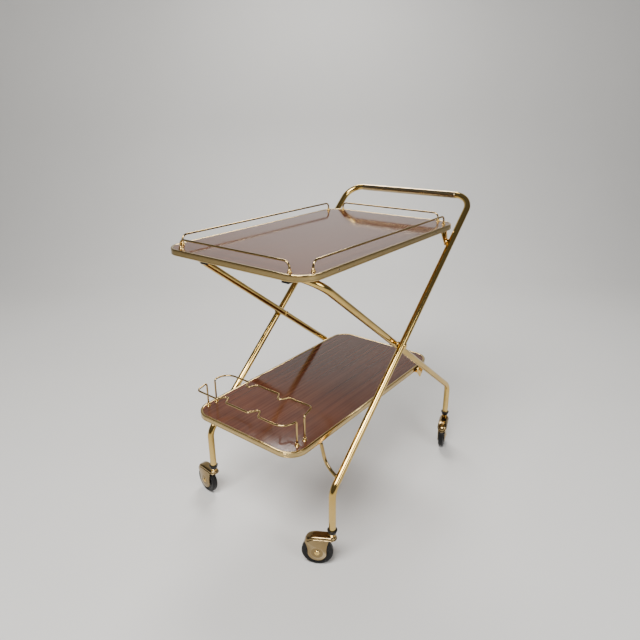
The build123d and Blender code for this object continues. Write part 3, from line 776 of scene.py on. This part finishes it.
def trimSection():
    # closed outline of the bent channel, measured outward and up from the rim's outer lower corner
    height, lip, wall, sheet = trim["height"], trim["lip"], trim["wall"], trim["sheet"]
    outer = nearby(-lip, 0, (0, 0.35), (0.35, 0))
    outer += nearby(0, 0, (-1.3, 0), (-0.55, 0.2), (-0.12, 0.7), (0, 1.4), (0, 2.5))
    outer += nearby(0, 0, (-0.35, 2.75), (-0.35, 3.05), (0, 3.3))
    outer += nearby(0, height, (0, -3.4), (-0.35, -3.15), (-0.35, -2.85), (0, -2.6), (0, -1.5))
    outer += nearby(0, height, (-0.12, -0.8), (-0.5, -0.25), (-1.2, 0))
    outer += nearby(-lip, height, (1.6, 0), (0.7, -0.18), (0.12, -0.65), (0, -1.2))
    return outer + [(-lip, height - sheet), (-wall, height - sheet), (-wall, sheet), (-lip, sheet)]


def rimRoute(low, high, radius, base):
    # round the tray, starting and ending at the middle of the rear side, where the strip's ends meet
    gap = trim["gap"] / 2
    middle = (low.y + high.y) / 2
    ring = [(high.x, middle + gap, base), (high.x, high.y, base), (low.x, high.y, base)]
    ring += [(low.x, low.y, base), (high.x, low.y, base), (high.x, middle - gap, base)]
    return bentRoute(ring, (radius,) * 4, math.radians(4))


def addTrims():
    for body, radius in trayCorners.items():
        name = body + "_trim"
        low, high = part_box(name)
        shape = bmesh.new()
        sweep(shape, rimRoute(low, high, radius, low.z), trimSection(), up=Vector((0, 0, 1)))
        addPiece(name + "_channel", shape, body, "tray_trim", (name,), sharp=math.radians(50))


addTrims()
print("trims bent")


# screws, pins and bolts
rivet = {"shank": 3 * mm, "head": 3 * mm, "washerBore": 3.05 * mm, "washerRim": 0.5 * mm}
hinge = {
    "shank": 3 * mm,
    "headRadius": 5.5 * mm,
    "play": 0.2 * mm,  # at either end of the shoulder
    "rim": 0.6 * mm,
}
woodScrew = {"radius": 3 * mm, "height": 1.8 * mm, "slot": 0.7 * mm, "shank": 1.4 * mm}
trimScrew = {
    "radius": 2.2 * mm,
    "height": 0.9 * mm,
    "slot": 0.6 * mm,
    "shank": 1.3 * mm,
    "length": 9.5 * mm,
    "proud": 0.85 * mm,
}


def addRod(shape, place, radius, length, segments):
    turned(shape, [(0, 0), (radius, 0), (radius, length), (0, length)], place, segments)


def joinShape(shape, added):
    mesh = bpy.data.meshes.new("joined")
    added.to_mesh(mesh)
    added.free()
    shape.from_mesh(mesh)
    bpy.data.meshes.remove(mesh)


def domedHead(shape, place, radius, height, slotWidth=0.0):
    # rounded head whose flat side sits on the place, with a driver slot where one is asked for
    brim = height * 0.18
    profile = [(0.0, 0.0), (radius, 0.0), (radius, brim)]
    profile += [(radius * cosine, brim + height * 0.82 * sine) for sine, cosine in quarterTurn(7, 1)]
    head = bmesh.new()
    turned(head, profile, Matrix.Identity(4), 36)
    if slotWidth:
        cutter = bmesh.new()
        deep = height * 0.55
        size = Matrix.Diagonal((radius * 2.4, slotWidth, deep * 2, 1))
        bmesh.ops.create_cube(cutter, size=1, matrix=Matrix.Translation((0, 0, height + deep * 0.05)) @ size)
        head = cut(head, cutter)
    head.transform(place)
    joinShape(shape, head)


def cut(shape, cutter):
    # boolean difference of two meshes
    holders = []
    for part in (shape, cutter):
        bmesh.ops.recalc_face_normals(part, faces=part.faces)
        mesh = bpy.data.meshes.new("cutting")
        part.to_mesh(mesh)
        part.free()
        holder = bpy.data.objects.new("cutting", mesh)
        bpy.context.scene.collection.objects.link(holder)
        holders.append(holder)
    modifier = holders[0].modifiers.new("cut", "BOOLEAN")
    modifier.object = holders[1]
    modifier.solver = "EXACT"
    made = holders[0].evaluated_get(bpy.context.evaluated_depsgraph_get())
    result = bmesh.new()
    result.from_mesh(made.data)
    for holder in holders:
        mesh = holder.data
        bpy.data.objects.remove(holder)
        bpy.data.meshes.remove(mesh)
    return result


def splitY(name):
    # y ranges of a node's left and right solids
    values = sorted(vertex.co.y for vertex in frame["nodes"][name].data.vertices)
    left = [value for value in values if value < 0]
    right = [value for value in values if value > 0]
    return (left[0], left[-1]), (right[0], right[-1])


def addPivotBolts():
    low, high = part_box("frame_pivot_bolts")
    x, z = (low.x + high.x) / 2, (low.z + high.z) / 2
    radius, thick, rim, bore = (high.x - low.x) / 2, rivet["head"], rivet["washerRim"], rivet["washerBore"]
    shape = bmesh.new()
    spacers = bmesh.new()
    for side, (start, end) in zip((-1, 1), splitY("frame_pivot_bolts")):
        outer, inner = (start, end) if side < 0 else (end, start)
        outHead = along((x, outer - side * thick, z), (0, side, 0))
        inHead = along((x, inner + side * thick, z), (0, -side, 0))
        shank = along((x, inner + side * thick, z), (0, side, 0))
        addRod(shape, shank, rivet["shank"], abs(outer - inner) - 2 * thick, 28)
        domedHead(shape, outHead, radius, thick)
        domedHead(shape, inHead, radius, thick)
    for start, end in splitY("frame_pivot_spacers"):
        wide = end - start
        profile = [(bore, 0), (radius - rim, 0), (radius, rim), (radius, wide - rim)]
        profile += [(radius - rim, wide), (bore, wide)]
        turned(spacers, profile, along((x, start, z), (0, 1, 0)), 32, loop=True)
    addPiece("frame_pivot_rivets", shape, "handle_frame", "plated_fittings", ("frame_pivot_bolts",))
    addPiece("frame_pivot_washers", spacers, "handle_frame", "plated_fittings", ("frame_pivot_spacers",))


def addHingePins():
    # shanks, shoulders and domed heads of the tray hinges
    play, rim = hinge["play"], hinge["rim"]
    for name, body, bracket, headHeight, bossRadius in (
        ("top_hinge_pins", "handle_frame", "top_hinge_bracket_", 2.6 * mm, 8.5 * mm),
        ("lower_hinge_pins", "support_frame", "lower_hinge_ear_", 2.08 * mm, 5.5 * mm),
    ):
        low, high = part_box(name)
        x, z = (low.x + high.x) / 2, (low.z + high.z) / 2
        frameLow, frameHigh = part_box(body)
        shape = bmesh.new()
        for side, (start, end) in zip((-1, 1), splitY(name)):
            outer, inner = (start, end) if side < 0 else (end, start)
            plateLow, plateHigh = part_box(bracket + ("left" if side < 0 else "right"))
            plateOut = plateLow.y if side < 0 else plateHigh.y
            legFace = (frameLow.y if side < 0 else frameHigh.y) - side * 2 * tubes["radius"]
            neck = inner + side * headHeight
            domedHead(shape, along((x, neck, z), (0, -side, 0)), hinge["headRadius"], headHeight)
            shank = abs(outer - inner) - headHeight
            addRod(shape, along((x, neck, z), (0, side, 0)), hinge["shank"], shank, 28)
            wide = abs(legFace - plateOut) - 2 * play
            profile = [(0, 0), (bossRadius - rim, 0), (bossRadius, rim), (bossRadius, wide - rim * 1.6)]
            profile += [(bossRadius - rim, wide - rim * 0.4), (bossRadius - 2 * rim, wide), (0, wide)]
            turned(shape, profile, along((x, plateOut + side * play, z), (0, side, 0)), 40)
        addPiece(name + "_turned", shape, body, "plated_fittings", (name,))


def addScrews():
    # round-headed wood screws under the trays, and small screws in the top trim's sides
    radius, height = woodScrew["radius"], woodScrew["height"]
    for name, body in (
        ("top_bracket_screws", "top_tray"),
        ("lower_ear_screws", "lower_tray"),
        ("lower_trim_screws", "lower_tray"),
    ):
        low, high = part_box(name)
        shape = bmesh.new()
        for x in (low.x + radius, high.x - radius):
            for y in (low.y + radius, high.y - radius):
                seat = (x, y, low.z + height)
                domedHead(shape, along(seat, (0, 0, -1)), radius, height, woodScrew["slot"])
                addRod(shape, along(seat, (0, 0, 1)), woodScrew["shank"], high.z - low.z - height, 20)
        addPiece(name + "_turned", shape, body, "dark_screws", (name,))
    low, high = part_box("top_trim_screws")
    middle = (low.z + high.z) / 2
    radius, height = trimScrew["radius"], trimScrew["height"]
    shape = bmesh.new()
    for x in (low.x + radius, high.x - radius):
        for side, face in ((-1, low.y), (1, high.y)):
            headPlace = along((x, face - side * trimScrew["proud"], middle), (0, side, 0))
            shankPlace = along((x, face - side * height, middle), (0, -side, 0))
            domedHead(shape, headPlace, radius, height, trimScrew["slot"])
            addRod(shape, shankPlace, trimScrew["shank"], trimScrew["length"], 20)
    addPiece("top_trim_screws_turned", shape, "top_tray", "dark_screws", ("top_trim_screws",))


addPivotBolts()
addHingePins()
addScrews()
for side in ("left", "right"):
    softened("top_hinge_bracket_" + side, 0.45 * mm, "top_tray")
    softened("lower_hinge_ear_" + side, 0.45 * mm, "lower_tray")
softened("crossbar_rest_clips", 0.8 * mm, "support_frame", 3)
print("hinges and fasteners built")


# casters
wheel = {
    "hub": 25.5 * mm,
    "tyreHalf": 7 * mm,
    "treadBend": 4.5 * mm,
    "bore": 3.05 * mm,
    "boss": 8 * mm,
    "bossHalf": 8.8 * mm,
    "web": 6 * mm,
    "axle": 3 * mm,
    "rivet": 6 * mm,
    "cheekOut": 10.5 * mm,
    "dish": 14.5 * mm,
}
socket = {
    "base": 8.8 * mm,
    "ring": 11.2 * mm,
    "bore": 5.05 * mm,
    "sleeve": 6.78 * mm,
    "cup": 0.8 * mm,
    "seat": 8.02 * mm,
}
hood = {
    "back": 9 * mm,
    "front": 61 * mm,
    "width": 24 * mm,
    "trail": 33 * mm,
    "axleZ": 35.5 * mm,
    "rimReach": 36.5 * mm,
    "topReach": 44.5 * mm,
    "sheet": 1.5 * mm,
}
cheek = {"radius": 21 * mm, "frontTop": 25.7 * mm, "rearTop": 27 * mm, "edge": 0.4 * mm}
stem = {"foot": 6.5 * mm, "shank": 5 * mm, "collar": 8 * mm}


def addTyre(place, spin):
    low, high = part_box(place + "_tyre")
    radius = (high.z - low.z) / 2
    hub, half, bend = wheel["hub"], wheel["tyreHalf"], wheel["treadBend"]
    side = nearby(hub, half, (0, -1.0), (0.8, -0.25), (2.4, 0), (3.0, -0.4), (3.6, 0))
    side += [(radius - bend + bend * sine, half - bend + bend * cosine) for sine, cosine in quarterTurn(8)]
    crown = nearby(radius, 0, (0, 0.8), (-0.15, 0.35), (-0.15, -0.35), (0, -0.8))
    profile = side + crown + [(across, -high) for across, high in reversed(side)]
    shape = bmesh.new()
    turned(shape, profile, spin, 96, loop=True)
    addPiece(place + "_tyre_ring", shape, place + "_wheel", "tyre_rubber", (place + "_tyre",))


def addHub(place, spin):
    hub, boss, bore, web = wheel["hub"], wheel["boss"], wheel["bore"], wheel["web"]
    bossHalf = wheel["bossHalf"]
    side = [(bore, bossHalf), (boss - 0.8 * mm, bossHalf), (boss, bossHalf - 0.8 * mm)]
    side += nearby(boss, web, (0.4, -2.0), (1.6, -2.6))
    side += nearby(hub, web, (-5.0, -2.6), (-3.8, -1.6), (-3.2, -0.3), (-2.6, 0), (-0.7, 0), (0, -0.5))
    profile = side + [(across, -high) for across, high in reversed(side)]
    shape = bmesh.new()
    turned(shape, profile, spin, 72, loop=True)
    addPiece(place + "_wheel_disc", shape, place + "_wheel", "wheel_plastic", (place + "_wheel_hub",))


def addAxle(place, spin):
    # axle with a dimpled rivet head outside each cheek, and the cheek's pressed boss round it
    out, head, axle, dish = wheel["cheekOut"], wheel["rivet"], wheel["axle"], wheel["dish"]
    shape = bmesh.new()
    bosses = bmesh.new()
    turned(shape, [(0, -out), (axle, -out), (axle, out), (0, out)], spin, 28)
    for side in (-1, 1):
        face = spin @ Matrix.Translation((0, 0, side * out)) @ Matrix.Diagonal((1, 1, side, 1))
        profile = [(0, 0)] + nearby(head, 0, (-0.6, 0), (-0.1, 0.35), (-0.5, 1.1), (-1.5, 1.85), (-2.6, 2.3))
        profile += nearby(head, 0, (-3.7, 2.5), (-4.3, 2.2), (-5.0, 1.85)) + [(0, 1.75 * mm)]
        turned(shape, profile, face, 40)
        ring = nearby(head, 0, (0.4, -0.6)) + nearby(dish, 0, (0, -0.6), (0, 0.02), (-1.2, 0.45))
        ring += nearby(dish, 0, (-3.0, 0.95), (-4.8, 1.15), (-6.2, 0.95), (-7.2, 0.45))
        ring += nearby(head, 0, (0.4, 0.25))
        turned(bosses, ring, face, 56, loop=True)
    addPiece(place + "_axle_rivet", shape, place + "_swivel", "plated_fittings", (place + "_wheel_axle",))
    addPiece(place + "_cheek_boss", bosses, place + "_swivel", "caster_housing")


def hoodRing(shape, lay, inset, reach, steps=12, runs=24):
    # the hood's plan drawn in by inset, at a height that runs level and then follows the tyre
    radius = hood["width"] / 2 - inset
    rearX, frontX = hood["width"] / 2 - hood["back"], hood["front"] - hood["width"] / 2
    turns = quarterTurn(steps)
    half = [(rearX - radius * cosine, radius * sine) for sine, cosine in turns[:-1]]
    half += [(rearX + (frontX - rearX) * step / runs, radius) for step in range(runs + 1)]
    half += [(frontX + radius * sine, radius * cosine) for sine, cosine in turns[1:]]
    ring = []
    for x, y in half + [(x, -y) for x, y in half[-2:0:-1]]:
        height = math.sqrt(reach**2 - max(0, x - hood["trail"]) ** 2)
        ring.append(shape.verts.new(lay @ Vector((x, y, hood["axleZ"] + height))))
    return ring


def cheekOutline():
    # the top edge is hidden in the hood; the sides draw in to the round end about the axle
    trail, axleZ, radius = hood["trail"], hood["axleZ"], cheek["radius"]
    reach = hood["rimReach"] + 2.5 * mm
    tops = [-cheek["rearTop"] + (cheek["rearTop"] + cheek["frontTop"]) * step / 16 for step in range(17)]
    outline = [(trail + x, axleZ + math.sqrt(reach**2 - max(0, x) ** 2)) for x in tops]
    sides = []
    for x in (cheek["frontTop"], -cheek["rearTop"]):
        rim = math.sqrt(hood["rimReach"] ** 2 - max(0, x) ** 2) - 0.6 * mm
        near = math.copysign(radius * 0.985, x)
        curve = []
        for step in range(9):
            part = step / 8
            across = (1 - part) ** 2 * x + 2 * part * (1 - part) * near + part**2 * near
            high = (1 - part) ** 2 * rim + 2 * part * (1 - part) * rim * 0.52 + part**2 * 3.6 * mm
            curve.append((trail + across, axleZ + high))
        sides.append(curve)
    outline += sides[0]
    turns = [-math.pi * step / 30 for step in range(1, 30)]
    outline += [(trail + radius * math.cos(turn), axleZ + radius * math.sin(turn)) for turn in turns]
    return outline + sides[1][::-1]


def addFork(place, lay):
    # shallow domed hood with a rolled rim, and two cheeks flush under it
    rim, top, sheet = hood["rimReach"], hood["topReach"], hood["sheet"]
    section = nearby(0, top, (11.6, 0), (8.5, 0), (6.5, -0.03))
    section += [(5.6 * mm * (1 - sine), top - 4.2 * mm * (1 - cosine)) for sine, cosine in quarterTurn(7, 1)]
    section += nearby(0, rim, (0, 2.6), (-0.15, 2.0), (-0.6, 1.6), (-1.15, 1.45), (-1.5, 1.1), (-1.6, 0.7))
    section += nearby(0, rim, (-1.5, 0.3), (-1.15, 0), (0.2, 0), (1.5, 0))
    section += nearby(0, top, (1.5, -5), (2.4, -3.2), (6, -1.5), (11.6, -1.5))
    shape = bmesh.new()
    rings = [hoodRing(shape, lay, inset, reach) for inset, reach in section]
    for first, second in zip(rings, rings[1:]):
        bridge(shape, first, second)
    for ring in (rings[0], rings[-1]):
        for index in range(len(ring) // 2):
            corners = (ring[index], ring[index + 1], ring[-index - 1], ring[-index] if index else ring[0])
            shape.faces.new(list(dict.fromkeys(corners)))
    for side in (-1, 1):
        plate = bmesh.new()
        inner = side * (wheel["cheekOut"] - sheet)
        outline, depths = cheekOutline(), (inner, inner + side * sheet)
        outer, back = [[plate.verts.new((x, y, z)) for x, z in outline] for y in depths][::-1]
        bridge(plate, back, outer)
        plate.faces.new(back[::-1])
        plate.faces.new(outer)
        bmesh.ops.recalc_face_normals(plate, faces=plate.faces)
        edges = [edge for edge in plate.edges if edge.calc_face_angle(0) > math.radians(40)]
        bmesh.ops.bevel(plate, geom=edges, offset=cheek["edge"], segments=2, profile=0.5, affect="EDGES")
        bmesh.ops.recalc_face_normals(plate, faces=plate.faces)
        plate.transform(lay)
        joinShape(shape, plate)
    addPiece(place + "_fork_pressed", shape, place + "_swivel", "caster_housing", (place + "_caster_fork",))


def addStem(place, x, y):
    low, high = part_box(place + "_caster_stem")
    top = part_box(place + "_caster_fork")[1].z
    foot, shank, collar = stem["foot"], stem["shank"], stem["collar"]
    profile = [(0, low.z)] + nearby(foot, low.z, (-0.4, 0), (0, 0.4))
    profile += [(foot, top - hood["sheet"]), (shank, top - hood["sheet"]), (shank, top)]
    profile += nearby(collar, top, (-0.7, 0.02), (0, 0.6), (0, 1.5), (-0.7, 2.1), (-1.6, 2.4), (-1.6, 3.1))
    profile += nearby(collar, top, (-0.7, 3.4), (-0.1, 4.0), (-0.1, 4.9), (-0.8, 5.5))
    profile += [(shank, top + 5.5 * mm)] + nearby(shank, high.z, (0, -1), (-0.8, 0)) + [(0, high.z)]
    shape = bmesh.new()
    turned(shape, profile, Matrix.Translation((x, y, 0)), 40)
    addPiece(place + "_stem_turned", shape, place + "_swivel", "plated_fittings", (place + "_caster_stem",))


def addSocket(place, x, y):
    low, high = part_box(place + "_caster_socket")
    frameName = "handle_frame" if place.startswith("front") else "support_frame"
    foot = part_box(frameName)[0].z
    base, ring, seat, lip = socket["base"], socket["ring"], socket["seat"], foot + socket["cup"]
    bore, sleeve = socket["bore"], socket["sleeve"]
    profile = [(bore, low.z)] + nearby(base, low.z, (-1.5, 0), (-0.45, 0.45), (0, 1.5), (0.9, 4.2))
    profile += nearby(ring, foot, (-0.5, -2.4), (0, -1.2))
    profile += nearby(ring, lip, (0, -0.7), (-0.25, -0.2), (-0.8, 0))
    profile += [(seat + 0.1 * mm, lip - 0.1 * mm), (seat, foot), (sleeve, foot)]
    profile += nearby(sleeve, high.z, (0, -1), (-0.8, 0)) + [(bore, high.z)]
    shape = bmesh.new()
    turned(shape, profile, Matrix.Translation((x, y, 0)), 48, loop=True)
    addPiece(place + "_socket_cup", shape, frameName, "black_plastic", (place + "_caster_socket",))


for place in places:
    swivel = joints[place + "_swivel"]["pos_m"]
    spinJoint = joints[place + "_wheel_spin"]
    spin = along(Vector(spinJoint["pos_m"]), Vector(spinJoint["axis"]))
    addTyre(place, spin)
    addHub(place, spin)
    addAxle(place, spin)
    addStem(place, swivel[0], swivel[1])
    addSocket(place, swivel[0], swivel[1])
    across = Vector(spinJoint["axis"])
    facing = Matrix((Vector((-across.y, across.x, 0)), across, (0, 0, 1))).transposed().to_4x4()
    addFork(place, Matrix.Translation((swivel[0], swivel[1], 0)) @ facing)
print("casters built")


# studio
studio = {
    "floor": (0.66, 0.655, 0.64, 1.0),
    "air": (0.76, 0.76, 0.77, 1.0),
    "airStrength": 0.16,
    "airSeen": 0.42,  # added for the camera only
    "near": -6.0,  # the floor's ends, from behind the camera to the upturn behind the object
    "reach": 2.6,
    "bend": 0.9,
    "top": 5.0,
    "halfWidth": 9.0,
    "aim": (0.05, 0, 0.4),
}


def addFloor():
    material, tree, shader = startMaterial("pale_floor")
    tone = useGroup(tree, cloudGroup, Size=1.3, Low=0.3, High=0.7)
    pale = tuple(part * 0.965 for part in studio["floor"][:3]) + (1.0,)
    tree.links.new(mixColor(tree, tone.outputs["Mask"], studio["floor"], pale), shader.inputs["Base Color"])
    shader.inputs["Roughness"].default_value = 0.6
    ahead = Vector((math.cos(view["heading"]), math.sin(view["heading"]), 0))
    across = Vector((ahead.y, -ahead.x, 0))
    reach, width, bend = studio["reach"], studio["halfWidth"], studio["bend"]
    outline = [(studio["near"], 0.0), (reach - bend, 0.0)]
    outline += [(reach - bend + bend * sine, bend - bend * cosine) for sine, cosine in quarterTurn(16, 1)]
    outline += [(reach, studio["top"])]
    shape = bmesh.new()
    rows = [
        [shape.verts.new(ahead * away + across * side + Vector((0, 0, high))) for side in (-width, width)]
        for away, high in outline
    ]
    for first, second in zip(rows, rows[1:]):
        shape.faces.new((first[0], first[1], second[1], second[0]))
    for face in shape.faces:
        face.smooth = True
    mesh = bpy.data.meshes.new("floor")
    shape.to_mesh(mesh)
    shape.free()
    mesh.materials.append(material)
    floor = bpy.data.objects.new("floor", mesh)
    bpy.context.scene.collection.objects.link(floor)


def addLight(name, place, size, power, color):
    light = bpy.data.lights.new(name, "AREA")
    light.shape = "RECTANGLE"
    light.size, light.size_y = size
    light.energy = power
    light.color = color
    lamp = bpy.data.objects.new(name, light)
    lamp.location = place
    lamp.rotation_euler = (Vector(studio["aim"]) - Vector(place)).to_track_quat("-Z", "Y").to_euler()
    bpy.context.scene.collection.objects.link(lamp)


def addWorld():
    world = bpy.data.worlds.new("studio_air")
    world.use_nodes = True
    tree = world.node_tree
    tree.nodes["Background"].inputs["Color"].default_value = studio["air"]
    path = tree.nodes.new("ShaderNodeLightPath")
    strength = multiplyAdd(tree, path.outputs["Is Camera Ray"], studio["airSeen"], studio["airStrength"])
    tree.links.new(strength.outputs[0], tree.nodes["Background"].inputs["Strength"])
    bpy.context.scene.world = world


addFloor()
addLight("key", (-1.6, -0.4, 2.6), (1.5, 1.1), 125, (1.0, 0.98, 0.95))
addLight("fill", (-0.4, -2.6, 1.5), (1.3, 1.2), 34, (0.97, 0.98, 1.0))
addLight("rim", (1.6, 1.2, 2.4), (1.2, 0.8), 60, (1.0, 0.98, 0.95))
addWorld()
print("studio lit")
